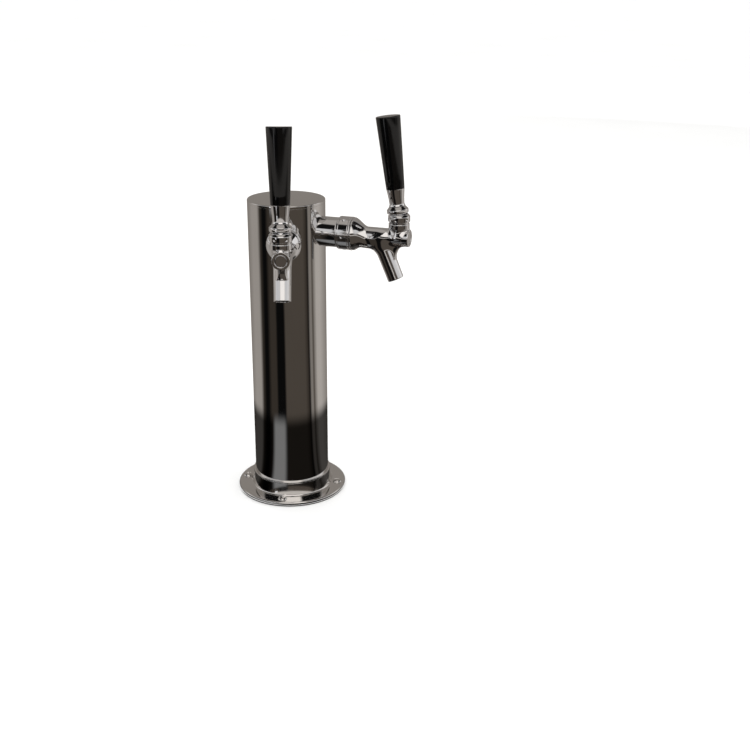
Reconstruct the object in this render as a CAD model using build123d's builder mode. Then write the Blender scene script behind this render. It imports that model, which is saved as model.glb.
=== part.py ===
"""Counter-top draft beer tower with two faucets.

Origin: centre of the underside of the base gasket, on the counter top.
+Z is up and -Y is the front. Each faucet points FAN degrees to one side of -Y;
"right" is toward +X and "left" toward -X. Millimetres.
"""

import os
from math import cos, radians, sin

from build123d import *

os.makedirs("parts", exist_ok=True)

# ---------------------------------------------------------------- dimensions
FAN = 35.0  # heading of each faucet from the front

# base
GASKET_R, GASKET_T = 55.4, 1.2
PLATE_R, PLATE_TOP = 56.2, 5.0
HUB_TOP, HUB_R_TOP, HUB_R_LOW, HUB_R_NECK = 19.8, 40.1, 42.0, 39.4
PASSAGE_R = 33.0  # opening for the beer lines through the flange
SCREW_PCD, SCREW_SHANK_R, SCREW_SHOULDER_R, SCREW_HOLE_R = 97.0, 2.4, 2.65, 2.95
SCREW_HEAD_R, SCREW_HEAD_H, SCREW_BELOW = 4.6, 2.7, 19.0

# column
TUBE_R, TUBE_WALL = 38.1, 1.2
TUBE_BOTTOM, TUBE_TOP, TOTAL_H = 3.0, 303.4, 306.4
LINER_R, LINER_BORE_R, LINER_TOP = 36.5, 22.0, 238.0
SPIGOT_R, SPIGOT_DEPTH = 36.6, 8.0

# shank line, measured along the faucet's heading from the column's axis
SHANK_Z = 277.0
SLEEVE_R, SLEEVE_END = 14.6, 55.0
SHANK_R, SHANK_BORE_R, SHANK_IN, SHANK_OUT = 11.1, 3.175, 25.0, 59.5
COLLAR_R, COLLAR_T = 13.9, 2.0
NUT_R, NUT_IN, NUT_OUT = 16.15, 55.2, 69.2
NUT_BORE_R = 14.3
LOCKNUT_AF, LOCKNUT_IN, LOCKNUT_OUT = 28.6, 28.0, 32.5
TAILNUT_AF, TAILNUT_IN, TAILNUT_OUT = 26.0, 20.2, 27.6
ELBOW_R, ELBOW_BORE_R, ELBOW_X, ELBOW_DROP = 4.0, 2.9, 10.0, 30.0

# faucet body
INLET_IN, INLET_R = 60.7, 14.25
BELL_IN, BELL_R = 69.35, 15.8
SEAT_X, CHAMBER_R = 72.0, 10.4
BARREL_R, BARREL_BORE_R, BARREL_END = 8.0, 5.5, 125.4
SPOUT_R, SPOUT_BORE_R, SPOUT_TILT = 7.9, 6.2, 23.0
SPOUT_BORE_L, SPOUT_THROAT_R = 30.0, 4.6  # wide bore up from the mouth, then the narrower throat
SPOUT_END_X, SPOUT_END_Z = 112.2, -41.0
POST_R, BOSS_R, BOSS_TOP, CUP_R, CUP_FLOOR = 7.9, 10.0, 14.0, 6.9, 7.2
POST_TOP, DOME_R = 16.6, 13.2  # the bonnet's dome is centred on the lever's ball

# lever
PIVOT_X, PIVOT_Z, LEAN = 114.6, 13.0, 7.0
BALL_R, BALL_SEAT_R, TIP_L, TIP_R = 6.4, 6.5, 13.0, 2.5
GRIP_LOW, GRIP_TOP, GRIP_R_LOW, GRIP_R_TOP = 33.5, 100.3, 8.6, 11.4

# valve shaft
LAND_R, LAND_IN, LAND_OUT, ROD_R = 5.45, 108.0, 125.1, 2.5
WASHER_R, WASHER_T = 8.5, 2.5


def save(piece, name):
    """Label a finished piece and write it as one STEP file."""
    piece.label = name
    export_step(piece, f"parts/{name}.step")


# ---------------------------------------------------------------- base
with BuildPart() as base_gasket:
    with BuildSketch(Plane.XY):
        Circle(GASKET_R)
        Circle(PASSAGE_R + 1.0, mode=Mode.SUBTRACT)
        with PolarLocations(SCREW_PCD / 2, 4, start_angle=45):
            Circle(SCREW_HOLE_R + 0.1, mode=Mode.SUBTRACT)
    extrude(amount=GASKET_T)
save(base_gasket.part, "base_gasket")

with BuildPart() as base_flange:
    # half section: plate with a rolled rim, concave root and a tapered hub under a beaded lip
    with BuildSketch(Plane.XZ):
        with BuildLine():
            Polyline(
                (PASSAGE_R, GASKET_T),
                (PLATE_R - 0.7, GASKET_T),
                (PLATE_R, GASKET_T + 0.9),
                (PLATE_R, PLATE_TOP - 1.9),
            )
            RadiusArc((PLATE_R, PLATE_TOP - 1.9), (PLATE_R - 1.9, PLATE_TOP), -1.9)
            Line((PLATE_R - 1.9, PLATE_TOP), (HUB_R_LOW + 1.8, PLATE_TOP))
            RadiusArc(
                (HUB_R_LOW + 1.8, PLATE_TOP), (HUB_R_LOW, PLATE_TOP + 1.8), 1.8
            )
            Polyline(
                (HUB_R_LOW, PLATE_TOP + 1.8),
                (HUB_R_NECK, HUB_TOP - 2.2),
                (HUB_R_TOP + 0.1, HUB_TOP - 1.6),
                (HUB_R_TOP + 0.1, HUB_TOP - 0.8),
                (HUB_R_TOP - 0.4, HUB_TOP),
                (TUBE_R + 0.05, HUB_TOP),
                (TUBE_R + 0.05, TUBE_BOTTOM),
                (PASSAGE_R, TUBE_BOTTOM),
                (PASSAGE_R, GASKET_T),
            )
        make_face()
    revolve(axis=Axis.Z)
    with BuildSketch(Plane.XY.offset(GASKET_T)):
        with PolarLocations(SCREW_PCD / 2, 4, start_angle=45):
            Circle(SCREW_HOLE_R)
    extrude(amount=PLATE_TOP - GASKET_T + 1, mode=Mode.SUBTRACT)
save(base_flange.part, "base_flange")

with BuildPart() as mounting_screws:
    with Locations(*[loc for loc in PolarLocations(SCREW_PCD / 2, 4, start_angle=45)]):
        with Locations((0, 0, PLATE_TOP)):
            Cylinder(
                SCREW_HEAD_R,
                SCREW_HEAD_H,
                align=(Align.CENTER, Align.CENTER, Align.MIN),
            )
        # smooth shoulder through the flange, then the threaded length below the deck's face
        with Locations((0, 0, PLATE_TOP + 0.02)):
            Cylinder(
                SCREW_SHOULDER_R,
                PLATE_TOP + 0.02,
                align=(Align.CENTER, Align.CENTER, Align.MAX),
            )
        Cylinder(
            SCREW_SHANK_R,
            SCREW_BELOW - 4.0,
            align=(Align.CENTER, Align.CENTER, Align.MAX),
        )
        with Locations((0, 0, -SCREW_BELOW + 4.0)):
            Cone(
                0.3,
                SCREW_SHANK_R,
                4.0,
                align=(Align.CENTER, Align.CENTER, Align.MAX),
            )
    fillet(
        mounting_screws.edges()
        .filter_by(GeomType.CIRCLE)
        .group_by(Axis.Z)[-1],
        2.2,
    )
    with Locations(*[loc for loc in PolarLocations(SCREW_PCD / 2, 4, start_angle=45)]):
        with Locations((0, 0, PLATE_TOP + SCREW_HEAD_H)):
            Box(4.2, 0.9, 2.4, mode=Mode.SUBTRACT)
            Box(0.9, 4.2, 2.4, mode=Mode.SUBTRACT)
save(mounting_screws.part, "mounting_screws")

# ---------------------------------------------------------------- column
HEADS = {"left": -90.0 - FAN, "right": -90.0 + FAN}  # polar angle of each faucet


def heading(side):
    """Unit vector along a faucet, away from the column."""
    a = radians(HEADS[side])
    return Vector(cos(a), sin(a), 0)


def side_plane(side):
    """Upright plane through a faucet: x runs outward, y up from the shank line."""
    out = heading(side)
    return Plane(
        origin=(0, 0, SHANK_Z), x_dir=out, z_dir=out.cross(Vector(0, 0, 1))
    )


def shank_axis(side):
    return Axis((0, 0, SHANK_Z), heading(side))


def across(side, x):
    """Plane square to the shank line at distance x, its x across and y up."""
    out = heading(side)
    return Plane(
        origin=out * x + Vector(0, 0, SHANK_Z),
        x_dir=Vector(0, 0, 1).cross(out),
        z_dir=out,
    )


with BuildPart() as column_tube:
    with BuildSketch(Plane.XY.offset(TUBE_BOTTOM)):
        Circle(TUBE_R)
        Circle(TUBE_R - TUBE_WALL, mode=Mode.SUBTRACT)
    extrude(amount=TUBE_TOP - TUBE_BOTTOM)
    for side in HEADS:
        with BuildSketch(across(side, 20)):
            Circle(SHANK_R + 0.2)
        extrude(amount=30, mode=Mode.SUBTRACT)
save(column_tube.part, "column_tube")

with BuildPart() as insulation_liner:
    with BuildSketch(Plane.XY.offset(TUBE_BOTTOM)):
        Circle(LINER_R)
        Circle(LINER_BORE_R, mode=Mode.SUBTRACT)
    extrude(amount=LINER_TOP - TUBE_BOTTOM)
save(insulation_liner.part, "insulation_liner")

with BuildPart() as top_cap:
    with BuildSketch(Plane.XY.offset(TUBE_TOP)):
        Circle(TUBE_R)
    extrude(amount=TOTAL_H - TUBE_TOP)
    fillet(top_cap.edges().filter_by(GeomType.CIRCLE).group_by(Axis.Z)[-1], 0.9)
    # spigot ring that drops inside the tube, with a groove for the ring seal
    with BuildSketch(Plane.XZ):
        with BuildLine():
            Polyline(
                (33.6, TUBE_TOP + 0.5),
                (SPIGOT_R, TUBE_TOP + 0.5),
                (SPIGOT_R, TUBE_TOP - 2.9),
                (SPIGOT_R - 2.0, TUBE_TOP - 2.9),
                (SPIGOT_R - 2.0, TUBE_TOP - 5.5),
                (SPIGOT_R, TUBE_TOP - 5.5),
                (SPIGOT_R, TUBE_TOP - SPIGOT_DEPTH + 0.6),
                (SPIGOT_R - 0.6, TUBE_TOP - SPIGOT_DEPTH),
                (33.6, TUBE_TOP - SPIGOT_DEPTH),
                (33.6, TUBE_TOP + 0.5),
            )
        make_face()
    revolve(axis=Axis.Z)
save(top_cap.part, "top_cap")

with BuildPart() as cap_oring:
    with BuildSketch(Plane.XZ):
        with Locations((TUBE_R - TUBE_WALL - 0.06 - 1.12, TUBE_TOP - 4.2)):
            Circle(1.12)
    revolve(axis=Axis.Z)
save(cap_oring.part, "cap_oring")

# ---------------------------------------------------------------- both faucets
for side in ("left", "right"):
    P = side_plane(side)
    AX = shank_axis(side)
    OUT = heading(side)
    UPRIGHT = Axis(OUT * PIVOT_X + Vector(0, 0, SHANK_Z), Vector(0, 0, 1))
    PIVOT = OUT * PIVOT_X + Vector(0, 0, SHANK_Z + PIVOT_Z)
    # lever frame: y runs up along the lever, which leans back over the barrel
    lean_x = P.x_dir * cos(radians(LEAN)) + P.y_dir * sin(radians(LEAN))
    lean_y = P.y_dir * cos(radians(LEAN)) - P.x_dir * sin(radians(LEAN))
    L = Plane(origin=PIVOT, x_dir=lean_x, z_dir=P.z_dir)
    LEVER_AXIS = Axis(PIVOT, lean_y)

    # --- spacer between the column and the coupling nut, saddled to the column
    with BuildPart() as shank_sleeve:
        with BuildSketch(across(side, 30)):
            Circle(SLEEVE_R)
            Circle(SHANK_R + 0.1, mode=Mode.SUBTRACT)
        extrude(amount=SLEEVE_END - 30)
        chamfer(
            shank_sleeve.edges()
            .filter_by(GeomType.CIRCLE)
            .filter_by(lambda e: e.radius > SLEEVE_R - 0.1)
            .sort_by(AX)[-1],
            0.4,
        )
        Cylinder(
            TUBE_R + 0.02,
            400,
            align=(Align.CENTER, Align.CENTER, Align.MIN),
            mode=Mode.SUBTRACT,
        )
    save(shank_sleeve.part, f"shank_sleeve_{side}")

    # --- threaded pipe through the wall, with a lip that holds the coupling nut
    with BuildPart() as shank:
        with BuildSketch(P):
            with BuildLine():
                Polyline(
                    (SHANK_IN, SHANK_BORE_R),
                    (SHANK_IN, SHANK_R - 0.8),
                    (SHANK_IN + 0.8, SHANK_R),
                    (SHANK_OUT - COLLAR_T, SHANK_R),
                    (SHANK_OUT - COLLAR_T, COLLAR_R),
                    (SHANK_OUT, COLLAR_R),
                    (SHANK_OUT, SHANK_BORE_R),
                    (SHANK_IN, SHANK_BORE_R),
                )
            make_face()
        revolve(axis=AX)
    save(shank.part, f"shank_{side}")

    # --- round coupling nut with spanner holes
    with BuildPart() as coupling_nut:
        with BuildSketch(P):
            with BuildLine():
                Polyline(
                    (NUT_IN, SHANK_R + 0.3),
                    (NUT_IN, NUT_R - 1.4),
                    (NUT_IN + 1.4, NUT_R),
                    (NUT_IN + 2.3, NUT_R),
                    (NUT_IN + 2.6, NUT_R - 0.35),
                    (NUT_IN + 2.9, NUT_R),
                    (NUT_OUT - 2.4, NUT_R),
                    (NUT_OUT - 2.1, NUT_R - 0.35),
                    (NUT_OUT - 1.8, NUT_R),
                    (NUT_OUT - 0.9, NUT_R),
                    (NUT_OUT, NUT_R - 0.9),
                    (NUT_OUT, NUT_BORE_R),
                    (SHANK_OUT - COLLAR_T, NUT_BORE_R),
                    (SHANK_OUT - COLLAR_T, SHANK_R + 0.3),
                    (NUT_IN, SHANK_R + 0.3),
                )
            make_face()
        revolve(axis=AX)
        for turn in range(6):
            a = radians(60 * turn + 30)
            aim = P.y_dir * cos(a) + P.z_dir * sin(a)
            with BuildSketch(
                Plane(origin=P.origin + P.x_dir * 62.2 + aim * 15.0, z_dir=aim)
            ):
                Circle(1.7)
            extrude(amount=3, mode=Mode.SUBTRACT)
    save(coupling_nut.part, f"coupling_nut_{side}")

    with BuildPart() as coupling_gasket:
        with BuildSketch(across(side, SHANK_OUT)):
            Circle(13.0)
            Circle(6.0, mode=Mode.SUBTRACT)
        extrude(amount=INLET_IN - SHANK_OUT)
    save(coupling_gasket.part, f"coupling_gasket_{side}")

    # --- inside the column: saddle washer, lock nut, tail washer, nut and elbow
    with BuildPart() as backing_washer:
        with BuildSketch(across(side, LOCKNUT_OUT)):
            Circle(15.0)
            Circle(SHANK_R + 0.2, mode=Mode.SUBTRACT)
        extrude(amount=10)
        with BuildSketch(Plane.XY.offset(SHANK_Z - 40)):
            Circle(TUBE_R - TUBE_WALL - 0.02)
        extrude(amount=80, mode=Mode.INTERSECT)
    save(backing_washer.part, f"backing_washer_{side}")

    with BuildPart() as shank_locknut:
        with BuildSketch(across(side, LOCKNUT_IN)):
            RegularPolygon(LOCKNUT_AF / 2, 6, major_radius=False, rotation=90)
            Circle(SHANK_R + 0.05, mode=Mode.SUBTRACT)
        extrude(amount=LOCKNUT_OUT - LOCKNUT_IN)
    save(shank_locknut.part, f"shank_locknut_{side}")

    with BuildPart() as tail_washer:
        with BuildSketch(across(side, SHANK_IN - 1.4)):
            Circle(10.6)
            Circle(4.2, mode=Mode.SUBTRACT)
        extrude(amount=1.4)
    save(tail_washer.part, f"tail_washer_{side}")

    with BuildPart() as tail_nut:
        with BuildSketch(across(side, TAILNUT_IN)):
            RegularPolygon(TAILNUT_AF / 2, 6, major_radius=False, rotation=90)
            Circle(ELBOW_R + 0.4, mode=Mode.SUBTRACT)
        extrude(amount=1.9)
        with BuildSketch(across(side, TAILNUT_IN + 1.9)):
            RegularPolygon(TAILNUT_AF / 2, 6, major_radius=False, rotation=90)
            Circle(SHANK_R + 0.05, mode=Mode.SUBTRACT)
        extrude(amount=TAILNUT_OUT - TAILNUT_IN - 1.9)
    save(tail_nut.part, f"tail_nut_{side}")

    with BuildPart() as tail_elbow:
        with BuildLine(P):
            elbow_path = Polyline((SHANK_IN - 1.4, 0), (ELBOW_X, 0), (ELBOW_X, -ELBOW_DROP))
            elbow_bend = fillet(elbow_path.vertices().sort_by(elbow_path)[1], 6.0)
        with BuildSketch(across(side, SHANK_IN - 1.4)):
            Circle(ELBOW_R)
        sweep(path=elbow_bend)
        # flange that the tail nut pulls against its washer
        with BuildSketch(across(side, TAILNUT_IN + 1.9)):
            Circle(10.6)
        extrude(amount=1.5)
        chamfer(tail_elbow.edges().group_by(Axis.Z)[0], 0.5)
        with BuildSketch(across(side, SHANK_IN - 1.4)):
            Circle(ELBOW_BORE_R)
        sweep(path=elbow_bend, mode=Mode.SUBTRACT)
    save(tail_elbow.part, f"tail_elbow_{side}")

    # --- faucet body: inlet thread, bell, neck, barrel, spout and lever post
    spout_dir = P.y_dir * cos(radians(SPOUT_TILT)) - P.x_dir * sin(radians(SPOUT_TILT))
    spout_end = P.origin + P.x_dir * SPOUT_END_X + P.y_dir * SPOUT_END_Z
    spout_len = -SPOUT_END_Z / cos(radians(SPOUT_TILT))
    spout_plane = Plane(origin=spout_end, x_dir=P.z_dir, z_dir=spout_dir)
    with BuildPart() as faucet_body:
        with BuildSketch(P):
            with BuildLine():
                Polyline(
                    (INLET_IN, 0),
                    (INLET_IN, INLET_R),
                    (BELL_IN, INLET_R),
                    (BELL_IN, BELL_R - 0.6),
                    (BELL_IN + 0.6, BELL_R),
                    (BELL_IN + 1.2, BELL_R),
                )
                Spline(
                    (BELL_IN + 1.2, BELL_R),
                    (BELL_IN + 7.0, 12.2),
                    (BELL_IN + 14.2, BARREL_R + 0.1),
                    tangents=((1, 0), (1, 0)),
                )
                Polyline(
                    (BELL_IN + 14.2, BARREL_R + 0.1),
                    (BARREL_END - 0.6, BARREL_R + 0.1),
                    (BARREL_END, BARREL_R - 0.5),
                    (BARREL_END, 0),
                    (INLET_IN, 0),
                )
            make_face()
        revolve(axis=AX)
        # spout, leaning outward as it falls
        with BuildSketch(spout_plane):
            Circle(SPOUT_R)
        extrude(amount=spout_len - 1.0)
        # throat under the bell that runs into the back of the spout
        with BuildSketch(P):
            with BuildLine():
                Polyline(
                    (78.0, -6.0),
                    (79.0, -11.6),
                    (84.0, -12.6),
                    (89.0, -14.8),
                    (94.5, -22.0),
                    (100.0, -12.0),
                    (100.0, -4.0),
                    (78.0, -6.0),
                )
            make_face()
        extrude(amount=4.6, both=True)
        # web in front, between the barrel and the spout
        with BuildSketch(P):
            with BuildLine():
                Polyline(
                    (104.0, -4.0),
                    (119.5, -7.6),
                    (116.5, -9.4),
                    (114.4, -11.8),
                    (112.9, -15.0),
                    (111.4, -19.6),
                    (104.0, -20.0),
                    (104.0, -4.0),
                )
            make_face()
        extrude(amount=3.6, both=True)
        # post for the bonnet, on a round boss
        with BuildSketch(P):
            with BuildLine():
                Polyline(
                    (PIVOT_X, 1.0),
                    (PIVOT_X + POST_R, 1.0),
                    (PIVOT_X + POST_R, 7.6),
                    (PIVOT_X + BOSS_R, 9.1),
                    (PIVOT_X + BOSS_R, BOSS_TOP - 0.4),
                    (PIVOT_X + BOSS_R - 0.4, BOSS_TOP),
                    (PIVOT_X + POST_R, BOSS_TOP),
                    (PIVOT_X + POST_R, POST_TOP),
                    (PIVOT_X, POST_TOP),
                    (PIVOT_X, 1.0),
                )
            make_face()
        revolve(axis=UPRIGHT)
        # inside: chamber, seat, barrel bore, spout bore, ball cup and lever throat
        with BuildSketch(P):
            with BuildLine():
                Polyline(
                    (INLET_IN - 1, 0),
                    (INLET_IN - 1, CHAMBER_R),
                    (SEAT_X, CHAMBER_R),
                    (SEAT_X, BARREL_BORE_R),
                    (BARREL_END + 1, BARREL_BORE_R),
                    (BARREL_END + 1, 0),
                    (INLET_IN - 1, 0),
                )
            make_face()
        revolve(axis=AX, mode=Mode.SUBTRACT)
        with BuildSketch(Plane(origin=spout_end - spout_dir, x_dir=P.z_dir, z_dir=spout_dir)):
            Circle(SPOUT_BORE_R)
        extrude(amount=SPOUT_BORE_L + 1, mode=Mode.SUBTRACT)
        with BuildSketch(Plane(origin=spout_end + spout_dir, x_dir=P.z_dir, z_dir=spout_dir)):
            Circle(SPOUT_THROAT_R)
        extrude(amount=spout_len - 1.8, mode=Mode.SUBTRACT)
        with BuildSketch(Plane.XY.offset(SHANK_Z + CUP_FLOOR)):
            with Locations((PIVOT.X, PIVOT.Y)):
                Circle(CUP_R)
        extrude(amount=20, mode=Mode.SUBTRACT)
        with BuildSketch(P):
            with BuildLine():
                Polyline(
                    (PIVOT_X - 5.6, 1.0),
                    (PIVOT_X + 4.6, 1.0),
                    (PIVOT_X + 4.6, CUP_FLOOR + 1),
                    (PIVOT_X - 5.6, CUP_FLOOR + 1),
                    (PIVOT_X - 5.6, 1.0),
                )
            make_face()
        extrude(amount=3.6, both=True, mode=Mode.SUBTRACT)
    save(faucet_body.part, f"faucet_body_{side}")

    # --- ball bearing rings and the bonnet above them
    with BuildPart() as friction_washer:
        with BuildSketch(P):
            with Locations((PIVOT_X + 5.65, CUP_FLOOR + 1.2)):
                Rectangle(2.3, 2.4)
        revolve(axis=UPRIGHT)
        with Locations(PIVOT):
            Sphere(BALL_SEAT_R, mode=Mode.SUBTRACT)
    save(friction_washer.part, f"friction_washer_{side}")

    with BuildPart() as ball_washer:
        with BuildSketch(P):
            with Locations((PIVOT_X + 5.65, 15.82)):
                Rectangle(2.3, 1.64)
        revolve(axis=UPRIGHT)
        with Locations(PIVOT):
            Sphere(BALL_SEAT_R, mode=Mode.SUBTRACT)
    save(ball_washer.part, f"ball_washer_{side}")

    with BuildPart() as bonnet:
        with BuildSketch(P):
            with BuildLine():
                Polyline(
                    (PIVOT_X + POST_R + 0.05, BOSS_TOP),
                    (PIVOT_X + 9.5, BOSS_TOP),
                    (PIVOT_X + 9.5, 15.4),
                    (PIVOT_X + 10.5, 16.0),
                    (PIVOT_X + 10.5, 21.0),
                )
                ThreePointArc(
                    (PIVOT_X + 10.5, 21.0),
                    (PIVOT_X + DOME_R * cos(radians(44.45)), PIVOT_Z + DOME_R * sin(radians(44.45))),
                    (PIVOT_X + 8.2, 23.34),
                )
                Polyline(
                    (PIVOT_X + 8.2, 23.34),
                    (PIVOT_X + 5.6, 16.7),
                    (PIVOT_X + POST_R + 0.05, 16.7),
                    (PIVOT_X + POST_R + 0.05, BOSS_TOP),
                )
            make_face()
        revolve(axis=UPRIGHT)
        for turn in range(6):
            a = radians(60 * turn + 30)
            aim = P.x_dir * cos(a) + P.z_dir * sin(a)
            with BuildSketch(
                Plane(
                    origin=P.origin + P.x_dir * PIVOT_X + P.y_dir * 18.4 + aim * 9.4,
                    z_dir=aim,
                )
            ):
                Circle(1.5)
            extrude(amount=3, mode=Mode.SUBTRACT)
    save(bonnet.part, f"bonnet_{side}")

    # --- lever: tip, ball, neck and threaded stud, drawn along its own axis
    with BuildPart() as lever:
        with BuildSketch(L):
            with BuildLine():
                Polyline(
                    (0, -TIP_L),
                    (1.9, -TIP_L),
                    (1.9, -8.6),
                    (1.9, -7.1),
                    (2.3, -5.9),
                    (3.4, -3.0),
                    (3.4, 13.0),
                    (4.2, 13.4),
                    (4.76, 13.9),
                    (4.76, 29.4),
                    (4.1, 30.2),
                    (0, 30.2),
                    (0, -TIP_L),
                )
            make_face()
        revolve(axis=LEVER_AXIS)
        with Locations(PIVOT):
            Sphere(BALL_R)
        with Locations(PIVOT - lean_y * TIP_L):
            Sphere(TIP_R)
    save(lever.part, f"lever_{side}")

    with BuildPart() as lever_collar:
        with BuildSketch(L):
            with BuildLine():
                ThreePointArc((4.85, 12.76), (7.2, 11.597), (9.1, 10.174))
                Polyline(
                    (9.1, 10.174),
                    (9.8, 10.6),
                    (10.3, 11.9),
                    (10.3, 14.0),
                    (10.0, 14.6),
                    (7.7, 17.2),
                    (4.85, 17.2),
                    (4.85, 12.76),
                )
            make_face()
        revolve(axis=LEVER_AXIS)
    save(lever_collar.part, f"lever_collar_{side}")

    with BuildPart() as handle_ferrule:
        with BuildSketch(L):
            with BuildLine():
                Polyline(
                    (4.85, 17.3),
                    (7.5, 17.3),
                    (7.2, 18.2),
                    (GRIP_R_LOW, GRIP_LOW),
                    (4.4, GRIP_LOW),
                    (4.4, 46.0),
                    (0, 46.0),
                    (0, 31.0),
                    (4.85, 31.0),
                    (4.85, 17.3),
                )
            make_face()
        revolve(axis=LEVER_AXIS)
    save(handle_ferrule.part, f"handle_ferrule_{side}")

    with BuildPart() as handle_grip:
        with BuildSketch(L):
            with BuildLine():
                Polyline(
                    (4.45, GRIP_LOW),
                    (GRIP_R_LOW - 0.2, GRIP_LOW),
                    (GRIP_R_LOW + 0.1, GRIP_LOW + 0.4),
                    (GRIP_R_TOP, GRIP_TOP - 1.4),
                )
                RadiusArc(
                    (GRIP_R_TOP, GRIP_TOP - 1.4), (GRIP_R_TOP - 1.4, GRIP_TOP), -1.4
                )
                Polyline(
                    (GRIP_R_TOP - 1.4, GRIP_TOP),
                    (0, GRIP_TOP),
                    (0, 47.0),
                    (4.45, 47.0),
                    (4.45, GRIP_LOW),
                )
            make_face()
        revolve(axis=LEVER_AXIS)
    save(handle_grip.part, f"handle_grip_{side}")

    # --- valve: shaft with a slot for the lever's tip, rubber seat washer and nut
    rest_tip = PIVOT_X + TIP_L * sin(radians(LEAN))
    with BuildPart() as valve_shaft:
        with BuildSketch(P):
            with BuildLine():
                Polyline(
                    (SEAT_X - 5.4, 0),
                    (SEAT_X - 5.4, 2.0),
                    (SEAT_X - 0.1, 2.0),
                    (SEAT_X - 0.1, ROD_R),
                    (LAND_IN - 2.2, ROD_R),
                    (LAND_IN, LAND_R),
                    (LAND_OUT - 0.5, LAND_R),
                    (LAND_OUT, LAND_R - 0.5),
                    (LAND_OUT, 0),
                    (SEAT_X - 5.4, 0),
                )
            make_face()
        revolve(axis=AX)
        with BuildSketch(P):
            with BuildLine():
                Polyline(
                    (rest_tip - 2.75, -3.0),
                    (rest_tip + 2.75, -3.0),
                    (rest_tip + 2.75, 1.6),
                    (rest_tip + 5.4, 6.0),
                    (rest_tip - 3.6, 6.0),
                    (rest_tip - 2.75, 1.6),
                    (rest_tip - 2.75, -3.0),
                )
            make_face()
        extrude(amount=2.8, both=True, mode=Mode.SUBTRACT)
    save(valve_shaft.part, f"valve_shaft_{side}")

    with BuildPart() as seat_washer:
        with BuildSketch(across(side, SEAT_X - 0.1 - WASHER_T)):
            Circle(WASHER_R)
            Circle(2.05, mode=Mode.SUBTRACT)
        extrude(amount=WASHER_T)
    save(seat_washer.part, f"seat_washer_{side}")

    with BuildPart() as seat_nut:
        with BuildSketch(across(side, SEAT_X - 0.1 - WASHER_T - 2.4)):
            RegularPolygon(3.5, 6, major_radius=False)
            Circle(2.05, mode=Mode.SUBTRACT)
        extrude(amount=2.4)
    save(seat_nut.part, f"seat_nut_{side}")
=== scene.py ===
"""Looks for the two-faucet beer tower: smooth turned and cast chrome, black handles, studio."""

import math

import bmesh
import bpy
import numpy as np
from mathutils import Matrix, Vector


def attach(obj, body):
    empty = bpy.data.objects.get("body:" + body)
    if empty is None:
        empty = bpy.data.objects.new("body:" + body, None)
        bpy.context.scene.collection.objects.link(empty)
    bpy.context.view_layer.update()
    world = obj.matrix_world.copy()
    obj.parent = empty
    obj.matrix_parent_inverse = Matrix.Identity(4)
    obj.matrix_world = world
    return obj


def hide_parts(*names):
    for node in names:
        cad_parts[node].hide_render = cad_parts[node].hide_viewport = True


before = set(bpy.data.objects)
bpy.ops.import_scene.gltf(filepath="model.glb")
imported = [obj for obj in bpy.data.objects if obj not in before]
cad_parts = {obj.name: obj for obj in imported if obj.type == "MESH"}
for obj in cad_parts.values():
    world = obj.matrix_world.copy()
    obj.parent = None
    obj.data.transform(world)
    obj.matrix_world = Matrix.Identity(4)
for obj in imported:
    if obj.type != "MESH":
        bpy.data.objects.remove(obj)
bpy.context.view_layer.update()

MM = 0.001
UP = np.array([0.0, 0.0, 1.0])
scene = bpy.context.scene

# ------------------------------------------------------------------ frame facts
FAN = 35.0
SHANK_Z = 277.0
PIVOT_X, PIVOT_Z, LEAN = 114.6, 13.0, 7.0
GASKET_T, PLATE_R, PLATE_TOP = 1.2, 56.2, 5.0
HUB_TOP, HUB_R_TOP, HUB_R_LOW, HUB_R_NECK = 19.8, 40.1, 42.0, 39.4
TUBE_R, TUBE_IN, TUBE_BOTTOM, TUBE_TOP, TOTAL_H = 38.1, 36.9, 3.0, 303.4, 306.4


def side_frame(side):
    a = math.radians(-90.0 - FAN if side == "left" else -90.0 + FAN)
    out = np.array([math.cos(a), math.sin(a), 0.0])
    return out, np.cross(out, UP)


# ------------------------------------------------------------------ mesh helpers
def make_object(name, verts, faces, body, mat, smooth=35.0, normals=None):
    """verts in millimetres in the row frame."""
    me = bpy.data.meshes.new(name)
    me.from_pydata([tuple(v) for v in np.asarray(verts, float) * MM], [], faces)
    me.validate()
    bm = bmesh.new()
    bm.from_mesh(me)
    bmesh.ops.recalc_face_normals(bm, faces=bm.faces)
    bm.to_mesh(me)
    bm.free()
    me.shade_smooth()
    if smooth:
        me.set_sharp_from_angle(angle=math.radians(smooth))
    ob = bpy.data.objects.new(name, me)
    scene.collection.objects.link(ob)
    me.materials.append(mat)
    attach(ob, body)
    return ob


def rounded(points, n=5):
    """Profile from (rho, h, radius) corners, each corner of radius > 0 turned into an arc."""
    pts = [np.array(p[:2], float) for p in points]
    rad = [p[2] if len(p) > 2 else 0.0 for p in points]
    made = []
    for i, p in enumerate(pts):
        if rad[i] <= 0 or i in (0, len(pts) - 1):
            made.append(tuple(p))
            continue
        a, b = pts[i - 1] - p, pts[i + 1] - p
        la, lb = np.linalg.norm(a), np.linalg.norm(b)
        a, b = a / la, b / lb
        ang = math.acos(max(-1, min(1, float(a @ b))))
        if ang > math.pi - 0.02:
            made.append(tuple(p))
            continue
        cut = min(rad[i] / math.tan(ang / 2), la * 0.49, lb * 0.49)
        r = cut * math.tan(ang / 2)
        c = p + (a + b) / np.linalg.norm(a + b) * (r / math.sin(ang / 2))
        s, e = p + a * cut, p + b * cut
        t0 = math.atan2(*(s - c)[::-1])
        t1 = math.atan2(*(e - c)[::-1])
        d = (t1 - t0 + math.pi) % (2 * math.pi) - math.pi
        steps = max(2, int(n * abs(d) / (math.pi / 2)) + 1)
        for k in range(steps + 1):
            t = t0 + d * k / steps
            made.append((c[0] + r * math.cos(t), c[1] + r * math.sin(t)))
    return made


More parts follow.
